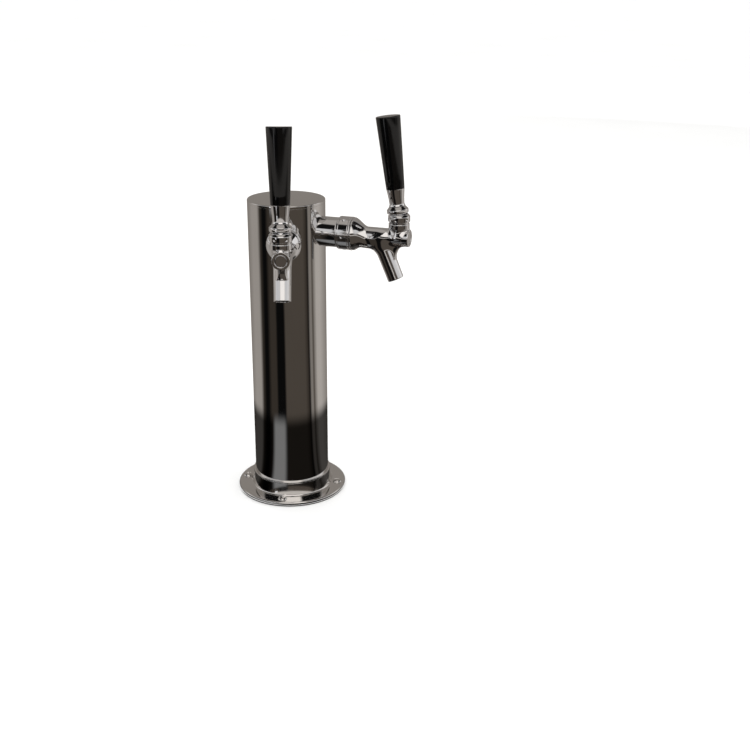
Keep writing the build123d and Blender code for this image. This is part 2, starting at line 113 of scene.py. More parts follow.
def lathe_arrays(profile, origin, axis, side_dir, segs, loop=False):
    """Turned shape: profile of (rho, h) about axis. loop joins the profile's ends (a ring)."""
    axis = np.asarray(axis, float)
    u = np.asarray(side_dir, float)
    v = np.cross(axis, u)
    origin = np.asarray(origin, float)
    verts, rows = [], []
    for rho, h in profile:
        if rho < 1e-6:
            rows.append([len(verts)])
            verts.append(origin + axis * h)
            continue
        row = []
        for k in range(segs):
            t = 2 * math.pi * k / segs
            row.append(len(verts))
            verts.append(origin + axis * h + (u * math.cos(t) + v * math.sin(t)) * rho)
        rows.append(row)
    faces = []
    pairs = list(zip(rows[:-1], rows[1:]))
    if loop:
        pairs.append((rows[-1], rows[0]))
    for a, b in pairs:
        for k in range(segs):
            m = (k + 1) % segs
            if len(a) == 1 and len(b) == 1:
                continue
            if len(a) == 1:
                faces.append((a[0], b[k], b[m]))
            elif len(b) == 1:
                faces.append((a[k], a[m], b[0]))
            else:
                faces.append((a[k], a[m], b[m], b[k]))
    return verts, faces


def lathe(name, profile, origin, axis, side_dir, body, mat, segs=96, loop=False, smooth=35.0):
    verts, faces = lathe_arrays(profile, origin, axis, side_dir, segs, loop)
    return make_object(name, verts, faces, body, mat, smooth)


def cut(ob, tools):
    """Boolean difference with plain tool meshes, applied, then tidied."""
    me = bpy.data.meshes.new("tool")
    verts, faces = [], []
    for v, f in tools:
        n = len(verts)
        verts += [tuple(np.asarray(p) * MM) for p in v]
        faces += [tuple(i + n for i in q) for q in f]
    me.from_pydata(verts, [], faces)
    bm = bmesh.new()
    bm.from_mesh(me)
    bmesh.ops.recalc_face_normals(bm, faces=bm.faces)
    bm.to_mesh(me)
    bm.free()
    tool = bpy.data.objects.new("tool", me)
    scene.collection.objects.link(tool)
    mod = ob.modifiers.new("cut", "BOOLEAN")
    mod.operation = "DIFFERENCE"
    mod.solver = "EXACT"
    mod.object = tool
    bpy.context.view_layer.update()
    dg = bpy.context.evaluated_depsgraph_get()
    made = bpy.data.meshes.new_from_object(ob.evaluated_get(dg))
    ob.modifiers.clear()
    ob.data = made
    bpy.data.objects.remove(tool)
    made.shade_smooth()
    made.set_sharp_from_angle(angle=math.radians(30))
    return ob


def rod(origin, axis, side_dir, radius, h0, h1, segs=28):
    return lathe_arrays([(0, h0), (radius, h0), (radius, h1), (0, h1)], origin, axis, side_dir, segs)


# ------------------------------------------------------------------ materials
def new_material(name):
    m = bpy.data.materials.new(name)
    m.use_nodes = True
    nt = m.node_tree
    return m, nt, nt.nodes["Principled BSDF"]


def noise(nt, scale, detail=3.0, rough=0.5, stretch=(1, 1, 1)):
    tc = nt.nodes.new("ShaderNodeTexCoord")
    mp = nt.nodes.new("ShaderNodeMapping")
    mp.inputs["Scale"].default_value = stretch
    nt.links.new(tc.outputs["Object"], mp.inputs["Vector"])
    n = nt.nodes.new("ShaderNodeTexNoise")
    n.inputs["Scale"].default_value = scale
    n.inputs["Detail"].default_value = detail
    n.inputs["Roughness"].default_value = rough
    nt.links.new(mp.outputs["Vector"], n.inputs["Vector"])
    return n.outputs["Fac"]


def spread(nt, fac, lo, hi, a=0.3, b=0.7):
    r = nt.nodes.new("ShaderNodeMapRange")
    r.inputs["From Min"].default_value = a
    r.inputs["From Max"].default_value = b
    r.inputs["To Min"].default_value = lo
    r.inputs["To Max"].default_value = hi
    nt.links.new(fac, r.inputs["Value"])
    return r.outputs["Result"]


def ramp(nt, fac, stops):
    r = nt.nodes.new("ShaderNodeValToRGB")
    e = r.color_ramp.elements
    while len(e) < len(stops):
        e.new(0.5)
    for el, (p, c) in zip(e, stops):
        el.position = p
        el.color = (*c, 1.0)
    nt.links.new(fac, r.inputs["Fac"])
    return r.outputs["Color"]


def bump(nt, bsdf, height, strength, distance):
    b = nt.nodes.new("ShaderNodeBump")
    b.inputs["Strength"].default_value = strength
    b.inputs["Distance"].default_value = distance
    nt.links.new(height, b.inputs["Height"])
    nt.links.new(b.outputs["Normal"], bsdf.inputs["Normal"])


def chrome(name, tone, rough=(0.03, 0.09), streak=(1, 1, 1), scale=18.0, fine=400.0, bumps=0.03):
    m, nt, b = new_material(name)
    b.inputs["Metallic"].default_value = 1.0
    c = ramp(nt, noise(nt, scale * 0.6, 4), [(0.30, [x * 0.955 for x in tone]), (0.70, tone)])
    nt.links.new(c, b.inputs["Base Color"])
    nt.links.new(spread(nt, noise(nt, scale, 5, 0.6, streak), *rough), b.inputs["Roughness"])
    bump(nt, b, noise(nt, fine, 2, 0.5, streak), bumps, 0.00002)
    return m


def plastic(name, lo, hi, rough, scale, fine, strength, distance, coat=0.0):
    m, nt, b = new_material(name)
    c = ramp(nt, noise(nt, scale, 4), [(0.3, lo), (0.7, hi)])
    nt.links.new(c, b.inputs["Base Color"])
    nt.links.new(spread(nt, noise(nt, scale * 2.3, 5, 0.6), *rough), b.inputs["Roughness"])
    bump(nt, b, noise(nt, fine, 3), strength, distance)
    if coat:
        b.inputs["Coat Weight"].default_value = coat
        b.inputs["Coat Roughness"].default_value = 0.04
    return m


TUBE = chrome("polished_tube", (0.80, 0.79, 0.78), (0.025, 0.07), (1, 1, 0.12), 26.0, 600.0)
FLANGE = chrome("polished_flange", (0.84, 0.83, 0.82), (0.04, 0.10), (1, 1, 1), 30.0, 500.0)
PLATE = chrome("faucet_chrome", (0.86, 0.86, 0.87), (0.03, 0.08), (1, 1, 1), 60.0, 900.0)
SCREW = chrome("screw_steel", (0.82, 0.81, 0.80), (0.06, 0.14), (1, 1, 1), 90.0, 900.0)
STEEL = chrome("turned_stainless", (0.62, 0.61, 0.60), (0.22, 0.36), (1, 1, 6), 120.0, 900.0, 0.12)
BRASS = chrome("turned_brass", (0.72, 0.55, 0.26), (0.18, 0.30), (1, 1, 6), 120.0, 900.0, 0.1)
BLACK = plastic("black_handle", (0.0010, 0.0010, 0.0010), (0.0018, 0.0018, 0.0020), (0.06, 0.10), 40.0, 260.0, 0.05, 0.00005)
BLACK.node_tree.nodes["Principled BSDF"].inputs["Specular IOR Level"].default_value = 0.45
RUBBER = plastic("black_rubber", (0.018, 0.018, 0.018), (0.034, 0.033, 0.032), (0.55, 0.75), 120.0, 1500.0, 0.35, 0.0001)
NYLON = plastic("white_nylon", (0.74, 0.73, 0.69), (0.82, 0.81, 0.78), (0.38, 0.50), 120.0, 1500.0, 0.2, 0.0001)
FIBRE = plastic("friction_fibre", (0.17, 0.07, 0.04), (0.26, 0.11, 0.06), (0.6, 0.8), 160.0, 1600.0, 0.4, 0.0001)
FOAM = plastic("foam_liner", (0.10, 0.10, 0.11), (0.19, 0.19, 0.20), (0.8, 0.95), 260.0, 700.0, 0.8, 0.0006)

# ------------------------------------------------------------------ camera
CAM = dict(az=-32.26, d=1045.56, h=524.40, yaw=-4.793, pitch=21.044, roll=-0.424, f=1084.43)


def make_camera():
    a = math.radians(CAM["az"])
    pos = np.array([CAM["d"] * math.sin(a), -CAM["d"] * math.cos(a), CAM["h"]])
    b = a + math.radians(CAM["yaw"])
    fw = np.array([-math.sin(b), math.cos(b), 0.0])
    pt = math.radians(CAM["pitch"])
    look = fw * math.cos(pt) - UP * math.sin(pt)
    right = np.cross(look, UP)
    right /= np.linalg.norm(right)
    down = np.cross(look, right)
    r = math.radians(CAM["roll"])
    x = right * math.cos(r) + down * math.sin(r)
    y = -(-right * math.sin(r) + down * math.cos(r))
    data = bpy.data.cameras.new("camera")
    data.sensor_width = 36.0
    data.lens = CAM["f"] / 750.0 * 36.0
    data.clip_start, data.clip_end = 0.01, 50.0
    cam = bpy.data.objects.new("camera", data)
    m = Matrix.Identity(4)
    for i in range(3):
        m[i][0], m[i][1], m[i][2], m[i][3] = x[i], y[i], -look[i], pos[i] * MM
    cam.matrix_world = m
    scene.collection.objects.link(cam)
    scene.camera = cam
    return pos


CAM_POS = make_camera()

# ------------------------------------------------------------------ base and column
Z0 = (0, 0, 0)
SCREWS = [(48.5 * math.cos(math.radians(45 + 90 * k)), 48.5 * math.sin(math.radians(45 + 90 * k))) for k in range(4)]

flange = lathe(
    "flange_plate",
    rounded(
        [
            (33.0, GASKET_T),
            (PLATE_R, GASKET_T, 0.9),
            (PLATE_R, PLATE_TOP, 2.1),
            (HUB_R_LOW + 0.3, PLATE_TOP, 2.0),
            (HUB_R_NECK, HUB_TOP - 2.2, 0.4),
            (HUB_R_TOP + 0.35, HUB_TOP - 1.5, 0.4),
            (HUB_R_TOP + 0.2, HUB_TOP - 0.1, 0.6),
            (HUB_R_TOP - 0.6, HUB_TOP, 0.3),
            (TUBE_R + 0.05, HUB_TOP),
            (TUBE_R + 0.05, TUBE_BOTTOM),
            (33.0, TUBE_BOTTOM),
        ],
        8,
    ),
    Z0, UP, (1, 0, 0), "tower", FLANGE, segs=256, loop=True,
)
cut(flange, [rod((x, y, 0), UP, (1, 0, 0), 2.95, 0.5, 7.0, 40) for x, y in SCREWS])
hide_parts("base_flange")

tube = lathe(
    "column",
    [(TUBE_R, TUBE_BOTTOM), (TUBE_R, 60.0), (TUBE_R, 160.0), (TUBE_R, 250.0), (TUBE_R, TUBE_TOP - 0.12), (TUBE_R - 0.12, TUBE_TOP), (TUBE_IN, TUBE_TOP), (TUBE_IN, TUBE_BOTTOM)],
    Z0, UP, (1, 0, 0), "tower", TUBE, segs=256, loop=True,
)
cut(tube, [rod((0, 0, SHANK_Z), side_frame(s)[0], UP, 11.3, 20, 50, 64) for s in ("left", "right")])
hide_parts("column_tube")

cap = lathe(
    "flush_cap",
    rounded(
        [
            (0, TOTAL_H),
            (TUBE_R, TOTAL_H, 0.9),
            (TUBE_R, TUBE_TOP, 0.12),
            (36.6, TUBE_TOP, 0.1),
            (36.6, TUBE_TOP - 2.9, 0.2),
            (34.6, TUBE_TOP - 2.9),
            (34.6, TUBE_TOP - 5.5),
            (36.6, TUBE_TOP - 5.5, 0.2),
            (36.6, TUBE_TOP - 8.0, 0.6),
            (33.6, TUBE_TOP - 8.0),
            (33.6, TUBE_TOP),
            (0, TUBE_TOP),
        ],
        6,
    ),
    Z0, UP, (1, 0, 0), "cap", TUBE, segs=256,
)
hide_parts("top_cap")

# screws: domed heads with a cross recess, plain tapered shanks
def screw_parts():
    verts, faces = [], []
    for x, y in SCREWS:
        head = [(0.0, 7.72)]
        for k in range(1, 9):  # dome
            t = k / 8
            head.append((4.35 * math.sin(t * 1.25) / math.sin(1.25), 5.9 + 1.82 * (math.cos(t * 1.25) - math.cos(1.25)) / (1 - math.cos(1.25))))
        head += [(4.58, 5.55), (4.6, 5.2), (4.45, 5.02), (2.4, 5.02)]
        for k in range(12):  # rolled thread
            z = 3.0 - k * 1.5
            r = 2.4 if z > -14 else 2.4 - (-14 - z) * 0.42
            head += [(r, z), (r - 0.32, z - 0.75)]
        head += [(1.0, -16.4), (0, -18.9)]
        v, f = lathe_arrays(head, (x, y, 0), UP, (1, 0, 0), 40)
        n = len(verts)
        verts += v
        faces += [tuple(i + n for i in q) for q in f]
    return verts, faces


sv, sf = screw_parts()
screws = make_object("deck_screws", sv, sf, "tower", SCREW, 40)
cross = []
for i, (x, y) in enumerate(SCREWS):
    turn = math.radians((20, 65, 38, 10)[i])
    for a in (turn, turn + math.pi / 2):
        u = np.array([math.cos(a), math.sin(a), 0.0])
        w = np.cross(UP, u)
        c = np.array([x, y, 0.0])
        box = []
        for s, h in ((1.0, 9.0), (0.35, 6.35)):
            for p, q in ((-1, -1), (1, -1), (1, 1), (-1, 1)):
                box.append(c + u * p * 2.25 * s + w * q * 0.48 + UP * h)
        cross.append((box, [(0, 1, 2, 3), (7, 6, 5, 4), (0, 4, 5, 1), (1, 5, 6, 2), (2, 6, 7, 3), (3, 7, 4, 0)]))
cut(screws, cross[0::2])
cut(screws, cross[1::2])
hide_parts("mounting_screws")

# ------------------------------------------------------------------ faucet body by distance field
def poly_sdf(px, py, poly):
    """Signed distance to a closed 2-D polygon, negative inside."""
    P = np.asarray(poly, float)
    Q = np.roll(P, -1, axis=0)
    d = np.full(np.shape(px), 1e9)
    inside = np.zeros(np.shape(px), bool)
    for (ax, ay), (bx, by) in zip(P, Q):
        ex, ey = bx - ax, by - ay
        wx, wy = px - ax, py - ay
        t = np.clip((wx * ex + wy * ey) / (ex * ex + ey * ey + 1e-12), 0, 1)
        d = np.minimum(d, (wx - ex * t) ** 2 + (wy - ey * t) ** 2)
        if abs(ey) > 1e-12:
            crosses = ((ay > py) != (by > py)) & (px < ex * (py - ay) / ey + ax)
            inside ^= crosses
    d = np.sqrt(d)
    return np.where(inside, -d, d)


def smin(a, b, k):
    h = np.clip(0.5 + 0.5 * (b - a) / k, 0, 1)
    return b * (1 - h) + a * h - k * h * (1 - h)


def smax(a, b, k):
    return -smin(-a, -b, k)


def bell_curve():
    """Outline of the bell where it falls to the neck."""
    pts = []
    for k in range(19):
        t = k / 18
        x = 70.6 + t * 13.2
        s = t * t * (3 - 2 * t)
        pts.append((x, 15.8 + (8.05 - 15.8) * (0.55 * s + 0.45 * (1 - (1 - t) ** 1.6))))
    return pts


LATHE = rounded(
    [(60.7, -6), (60.7, 14.25), (69.35, 14.25), (69.35, 15.8, 0.6)] + [(p[0], p[1]) for p in bell_curve()] + [(118.4, 8.05), (119.2, 8.2), (125.4, 8.2, 0.7), (125.4, -6)],
    5,
)
BOSS = rounded([(-6, 0.5), (7.9, 0.5), (7.9, 7.6, 0.7), (10.0, 9.1, 0.6), (10.0, 14.0, 0.5), (7.9, 14.0), (7.9, 16.6), (-6, 16.6)], 5)
WEB = [(104.0, -4.0), (119.5, -7.2), (116.5, -9.4), (114.4, -11.8), (112.9, -15.0), (111.4, -19.6), (104.0, -20.0)]
S_TILT = math.radians(23.0)
S_DIR = (math.sin(S_TILT), -math.cos(S_TILT))  # outward, down
S_END = (112.2, -41.0)


def round_cone(x, y, z, a, b, ra, rb):
    ax, az = a
    bx, bz = b
    ex, ez = bx - ax, bz - az
    L2 = ex * ex + ez * ez
    t = np.clip(((x - ax) * ex + (z - az) * ez) / L2, 0, 1)
    return np.sqrt((x - ax - ex * t) ** 2 + y**2 + (z - az - ez * t) ** 2) - (ra + (rb - ra) * t)


def body_sdf(x, y, z, lathe_d=None, boss_d=None, web_d=None):
    rho = np.sqrt(y * y + z * z)
    d = poly_sdf(x, rho, LATHE) if lathe_d is None else lathe_d
    # spout: straight tube with a faint swell toward its root
    s = (x - S_END[0]) * S_DIR[0] + (z - S_END[1]) * S_DIR[1]  # 0 at the mouth, negative above
    qx = x - S_END[0] - s * S_DIR[0]
    qz = z - S_END[1] - s * S_DIR[1]
    radial = np.sqrt(qx * qx + qz * qz + y * y)
    grow = np.clip((-s - 6) / 26.0, 0, 1) * 0.35
    outer = smax(radial - (7.9 + grow), s, 0.9)
    outer = np.maximum(outer, -s - 43.0)
    web = round_cone(x, y, z, (72.6, -0.9), (93.0, -7.4), 11.9, 6.4)
    d = smin(d, web, 1.6)
    d = smin(d, outer, 6.5)
    d = smin(d, smax(poly_sdf(x, z, WEB) if web_d is None else web_d, np.abs(y) - 3.6, 2.0), 2.5)
    post = poly_sdf(np.sqrt((x - PIVOT_X) ** 2 + y * y), z, BOSS) if boss_d is None else boss_d
    d = smin(d, post, 2.4)
    # hollows
    bore = rho - 5.5
    bore = np.maximum(bore, 71.0 - x)
    chamber = np.maximum(rho - 10.4, x - 72.0)
    spout_bore = np.minimum(np.maximum(radial - 6.2, -s - 30.0), np.maximum(radial - 4.6, -s - 44.6))
    cup = np.maximum(np.sqrt((x - PIVOT_X) ** 2 + y * y) - 6.9, 7.2 - z)
    throat = np.maximum(np.maximum(np.abs(x - PIVOT_X + 0.5) - 5.1, np.abs(y) - 3.6), np.abs(z - 4.3) - 3.3)
    hollow = np.minimum(np.minimum(np.minimum(bore, chamber), np.minimum(spout_bore, cup)), throat)
    return smax(d, -hollow, 0.5)


def surface_nets(F, origin, h):
    nx, ny, nz = F.shape
    neg = F < 0
    cells = np.full((nx - 1) * (ny - 1) * (nz - 1), -1, np.int64)
    acc = np.zeros((len(cells), 3))
    cnt = np.zeros(len(cells))
    sx, sy = (ny - 1) * (nz - 1), nz - 1
    quads = []
    for axis in range(3):
        a = [slice(None)] * 3
        b = [slice(None)] * 3
        a[axis], b[axis] = slice(0, -1), slice(1, None)
        A, B = F[tuple(a)], F[tuple(b)]
        i, j, k = np.nonzero(neg[tuple(a)] != neg[tuple(b)])
        idx = np.stack([i, j, k], 1)
        o1, o2 = [d for d in range(3) if d != axis]
        lim = np.array([nx, ny, nz])
        ok = (idx[:, o1] > 0) & (idx[:, o2] > 0) & (idx[:, o1] < lim[o1] - 1) & (idx[:, o2] < lim[o2] - 1)
        idx = idx[ok]
        fa = A[idx[:, 0], idx[:, 1], idx[:, 2]]
        fb = B[idx[:, 0], idx[:, 1], idx[:, 2]]
        p = idx.astype(float)
        p[:, axis] += fa / (fa - fb)
        ring = []
        for d1, d2 in ((0, 0), (-1, 0), (-1, -1), (0, -1)):
            c = idx.copy()
            c[:, o1] += d1
            c[:, o2] += d2
            flat = c[:, 0] * sx + c[:, 1] * sy + c[:, 2]
            np.add.at(acc, flat, p)
            np.add.at(cnt, flat, 1)
            ring.append(flat)
        q = np.stack(ring, 1)
        flip = (fa > 0) ^ (axis == 1)
        q[flip] = q[flip][:, ::-1]
        quads.append(q)
    used = np.nonzero(cnt)[0]
    cells[used] = np.arange(len(used))
    verts = acc[used] / cnt[used][:, None] * h + origin
    return verts, cells[np.concatenate(quads)]


def body_mesh(h=0.45):
    lo = np.array([59.0, -17.3, -45.5])
    hi = np.array([127.0, 17.3, 18.8])
    n = np.ceil((hi - lo) / h).astype(int) + 1
    xs, ys, zs = (lo[a] + np.arange(n[a]) * h for a in range(3))
    X, Y, Z = np.meshgrid(xs, ys, zs, indexing="ij")
    # distance tables of the two turned outlines, then looked up by radius
    rr = np.arange(0, 60, 0.1)
    T = poly_sdf(xs[:, None] * np.ones_like(rr)[None], rr[None] * np.ones_like(xs)[:, None], LATHE)
    rho = np.sqrt(ys[:, None] ** 2 + zs[None] ** 2)
    g = rho / 0.1
    i0 = g.astype(int)
    w = g - i0
    lathe_d = T[:, i0] * (1 - w)[None] + T[:, i0 + 1] * w[None]
    T2 = poly_sdf(rr[:, None] * np.ones_like(zs)[None], zs[None] * np.ones_like(rr)[:, None], BOSS)
    rho2 = np.sqrt((xs[:, None] - PIVOT_X) ** 2 + ys[None] ** 2)
    g = rho2 / 0.1
    i0 = np.minimum(g.astype(int), len(rr) - 2)
    w = g - i0
    boss_d = T2[i0] * (1 - w)[..., None] + T2[i0 + 1] * w[..., None]
    web_d = poly_sdf(xs[:, None] * np.ones_like(zs)[None], zs[None] * np.ones_like(xs)[:, None], WEB)[:, None, :]
    F = body_sdf(X, Y, Z, lathe_d, boss_d, web_d)
    verts, quads = surface_nets(F, lo, h)
    c = verts[quads]
    face_n = np.cross(c[:, 2] - c[:, 0], c[:, 3] - c[:, 1])
    mid = c.mean(1)
    step = 0.3 * face_n / (np.linalg.norm(face_n, axis=1)[:, None] + 1e-12)
    rises = body_sdf(*(mid + step).T) > body_sdf(*(mid - step).T)
    quads[~rises] = quads[~rises][:, ::-1]
    e = 0.02
    grad = None
    for step in range(4):
        x, y, z = verts.T
        f = body_sdf(x, y, z)
        grad = np.stack(
            [
                body_sdf(x + e, y, z) - body_sdf(x - e, y, z),
                body_sdf(x, y + e, z) - body_sdf(x, y - e, z),
                body_sdf(x, y, z + e) - body_sdf(x, y, z - e),
            ],
            1,
        ) / (2 * e)
        size = np.maximum(np.linalg.norm(grad, axis=1), 0.3)
        if step < 3:
            move = np.clip(f / size, -0.25, 0.25)
            verts = verts - (grad / size[:, None]) * move[:, None] * 0.9
    return verts, quads, grad / np.linalg.norm(grad, axis=1)[:, None]


BODY_V, BODY_Q, BODY_N = body_mesh(0.45)


def place(points, side, vectors=False):
    out, tan = side_frame(side)
    p = np.asarray(points, float)
    base = np.array([0, 0, 0 if vectors else SHANK_Z])
    return p[:, :1] * out - p[:, 1:2] * tan + p[:, 2:3] * UP + base


def holes(ob, centre, aims, x_dir, radius, h0, h1):
    cut(ob, [rod(centre, a, x_dir, radius, h0, h1, 24) for a in aims])


for side in ("left", "right"):
    out, tan = side_frame(side)
    O = np.array([0, 0, SHANK_Z])
    pivot = O + out * PIVOT_X + UP * PIVOT_Z
    ly = UP * math.cos(math.radians(LEAN)) - out * math.sin(math.radians(LEAN))
    handle, valve = f"handle_{side}", f"valve_{side}"

    # cast body
    me = bpy.data.meshes.new(f"tap_body_{side}")
    me.from_pydata([tuple(v) for v in place(BODY_V, side) * MM], [], [tuple(q) for q in BODY_Q.tolist()])
    me.shade_smooth()
    me.normals_split_custom_set_from_vertices([tuple(v) for v in place(BODY_N, side, True)])
    ob = bpy.data.objects.new(f"tap_body_{side}", me)
    scene.collection.objects.link(ob)
    me.materials.append(PLATE)
    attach(ob, "tower")
    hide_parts(f"faucet_body_{side}")

    # sleeve with its inner end saddled to the column
    segs, verts, faces = 128, [], []
    prof = rounded([(14.6, 0), (14.6, 55.0, 0.5), (11.2, 55.0)], 5)[1:]
    rows = []
    for k in range(segs):
        t = 2 * math.pi * k / segs
        c, s = math.cos(t), math.sin(t)
        start = lambda r: math.sqrt((TUBE_R + 0.02) ** 2 - (r * s) ** 2)
        line = [(11.2, start(11.2)), (14.35, start(14.35)), (14.6, start(14.6) + 0.35)] + prof
        rows.append(line)
        for r, x in line:
            verts.append(O + out * x + (UP * c + tan * s) * r)
    m = len(rows[0])
    for k in range(segs):
        n = (k + 1) % segs
        for j in range(m):
            j2 = (j + 1) % m
            faces.append((k * m + j, k * m + j2, n * m + j2, n * m + j))
    ob = make_object(f"shank_spacer_{side}", verts, faces, "tower", PLATE, 30)
    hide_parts(f"shank_sleeve_{side}")

    # coupling nut
    ob = lathe(
        f"ring_nut_{side}",
        rounded(
            [
                (11.4, 57.5), (11.4, 55.2), (16.15, 55.2, 1.5), (16.15, 57.5), (15.8, 57.8), (16.15, 58.1),
                (16.15, 66.8), (15.8, 67.1), (16.15, 67.4), (16.15, 69.2, 1.0), (14.3, 69.2, 0.2), (14.3, 57.5),
            ],
            6,
        ),
        O, out, UP, "tower", PLATE, segs=128, loop=True,
    )
    aims = [UP * math.cos(math.radians(60 * k + 30)) + tan * math.sin(math.radians(60 * k + 30)) for k in range(6)]
    holes(ob, O + out * 62.2, aims, out, 1.7, 15.0, 18.0)
    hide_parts(f"coupling_nut_{side}")

    # bonnet
    ob = lathe(
        f"bonnet_ring_{side}",
        rounded(
            [
                (7.95, 14.0), (9.5, 14.0, 0.2), (9.5, 15.4, 0.3), (10.5, 16.0, 0.4), (10.5, 21.0, 0.9),
                *[(13.2 * math.cos(math.radians(a)), 13.0 + 13.2 * math.sin(math.radians(a))) for a in (41, 45, 49)],
                (8.2, 23.34, 0.3), (5.6, 16.7, 0.2), (7.95, 16.7),
            ],
            6,
        ),
        O + out * PIVOT_X, UP, out, "tower", PLATE, segs=96, loop=True,
    )
    aims = [out * math.cos(math.radians(60 * k + 30)) + tan * math.sin(math.radians(60 * k + 30)) for k in range(6)]
    holes(ob, O + out * PIVOT_X + UP * 18.4, aims, UP, 1.5, 9.4, 12.0)
    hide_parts(f"bonnet_{side}")

    # lever: tip, ball, neck and threaded stud
    prof = [(0.0, -15.5)]
    for k in range(1, 7):
        t = math.radians(k * 20)
        prof.append((2.5 * math.sin(t), -13.0 - 2.5 * math.cos(t)))
    prof += [(1.9, -11.0), (1.9, -7.1), (2.15, -6.4)]
    for k in range(21):
        t = math.radians(159 - k * 6.65)
        prof.append((6.4 * math.sin(t), 6.4 * math.cos(t)))
    prof = [p for p in prof if p[1] < 0 or p[0] > 3.45]
    prof += [(3.4, 5.5), (3.4, 13.0), (4.2, 13.4), (4.7, 13.9)]
    for k in range(10):
        prof += [(4.75, 14.1 + k * 1.59), (4.2, 14.9 + k * 1.59)]
    prof += [(4.1, 30.2), (0, 30.2)]
    ob = lathe(f"lever_stem_{side}", prof, pivot, ly, tan, handle, PLATE, segs=64)
    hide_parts(f"lever_{side}")

    ob = lathe(
        f"lock_collar_{side}",
        rounded(
            [(4.85, 17.2)] + [(13.65 * math.sin(math.radians(a)), 13.65 * math.cos(math.radians(a))) for a in (20.8, 25, 29, 33, 37, 41)] + [(9.25, 10.2, 0.15), (10.3, 11.3, 0.7), (10.3, 14.3, 0.8), (7.7, 17.2, 0.4)], 6
        ),
        pivot, ly, tan, handle, PLATE, segs=96, loop=True,
    )
    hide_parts(f"lever_collar_{side}")

    ob = lathe(
        f"ferrule_{side}",
        rounded(
            [(4.85, 31.0), (4.85, 17.3), (7.6, 17.3, 0.3), (7.75, 17.9, 0.3), (7.1, 19.2, 1.5), (7.5, 25.0, 8.0), (8.6, 33.2, 0.3), (8.6, 33.5), (4.4, 33.5), (4.4, 46.0), (0, 46.0)], 6
        ) ,
        pivot, ly, tan, handle, PLATE, segs=96,
    )
    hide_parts(f"handle_ferrule_{side}")

    grip = [(4.45, 47.0), (4.45, 33.5), (8.45, 33.5, 0.25)]
    for k in range(9):
        t = k / 8
        grip.append((8.7 + (11.4 - 8.7) * t ** 0.96, 34.0 + (98.9 - 34.0) * t))
    grip += [(11.38, 100.3, 1.3), (9.0, 100.3), (0, 100.3)]
    ob = lathe(f"grip_{side}", rounded(grip, 7) , pivot, ly, tan, handle, BLACK, segs=128)
    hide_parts(f"handle_grip_{side}")

    # valve shaft: only its front end shows, in the mouth of the barrel
    rest_tip = PIVOT_X + 13.0 * math.sin(math.radians(LEAN))
    ob = lathe(
        f"valve_spindle_{side}",
        rounded(
            [(0, 66.6), (2.0, 66.6), (2.0, 71.9), (2.5, 71.9), (2.5, 105.8, 1.0), (5.45, 108.0, 0.5), (5.45, 125.1, 0.5), (3.0, 125.1), (0, 125.1)], 5
        ),
        O, out, UP, valve, PLATE, segs=64,
    )
    w = 2.8
    slot = [(rest_tip - 2.75, -3.0), (rest_tip + 2.75, -3.0), (rest_tip + 2.75, 1.6), (rest_tip + 5.4, 6.0), (rest_tip - 3.6, 6.0), (rest_tip - 2.75, 1.6)]
    sv = [O + out * a + UP * b + tan * q for q in (-w, w) for a, b in slot]
    k = len(slot)
    sf = [tuple(range(k)), tuple(range(2 * k - 1, k - 1, -1))] + [(i, (i + 1) % k, k + (i + 1) % k, k + i) for i in range(k)]
    cut(ob, [(sv, sf)])
    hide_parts(f"valve_shaft_{side}")

# ------------------------------------------------------------------ CAD nodes that stay
KEEP = {"shank": STEEL, "backing_washer": STEEL, "shank_locknut": STEEL, "tail_nut": STEEL, "tail_elbow": STEEL, "coupling_gasket": RUBBER, "tail_washer": RUBBER, "seat_washer": RUBBER, "seat_nut": BRASS, "ball_washer": NYLON, "friction_washer": FIBRE}
for node, mat in [(f"{n}_{s}", m) for n, m in KEEP.items() for s in ("left", "right")] + [("base_gasket", RUBBER), ("cap_oring", RUBBER), ("insulation_liner", FOAM)]:
    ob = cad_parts[node]
    if not ob.data.materials:
        ob.data.materials.append(mat)
    for i in range(len(ob.material_slots)):
        ob.material_slots[i].material = mat

# ------------------------------------------------------------------ studio
def floor():
    me = bpy.data.meshes.new("floor")
    s = 60.0
    me.from_pydata([(-s, -s, 0), (s, -s, 0), (s, s, 0), (-s, s, 0)], [], [(0, 1, 2, 3)])
    ob = bpy.data.objects.new("floor", me)
    scene.collection.objects.link(ob)
    m, nt, b = new_material("pale_floor")
    c = ramp(nt, noise(nt, 3.0, 4), [(0.3, (0.88, 0.88, 0.875)), (0.7, (0.91, 0.91, 0.905))])
    nt.links.new(c, b.inputs["Base Color"])
    b.inputs["Roughness"].default_value = 0.7
    me.materials.append(m)


floor()


def area(name, pos, target, size, power, colour=(1, 1, 1), size_y=None):
    d = bpy.data.lights.new(name, "AREA")
    d.energy = power
    d.color = colour
    d.size = size
    if size_y:
        d.shape = "RECTANGLE"
        d.size_y = size_y
    ob = bpy.data.objects.new(name, d)
    ob.location = pos
    ob.rotation_euler = (Vector(target) - Vector(pos)).to_track_quat("-Z", "Y").to_euler()
    scene.collection.objects.link(ob)


w = bpy.data.worlds.new("studio")
scene.world = w
w.use_nodes = True
w.node_tree.nodes["Background"].inputs["Color"].default_value = (1.0, 1.0, 1.0, 1)
w.node_tree.nodes["Background"].inputs["Strength"].default_value = 1.12

CAM_COMPASS = math.atan2(CAM_POS[1], CAM_POS[0])
TENT_R = 3.0


def srgb(*c):
    return [((v / 255 + 0.055) / 1.055) ** 2.4 if v > 10 else v / 255 / 12.92 for v in c]


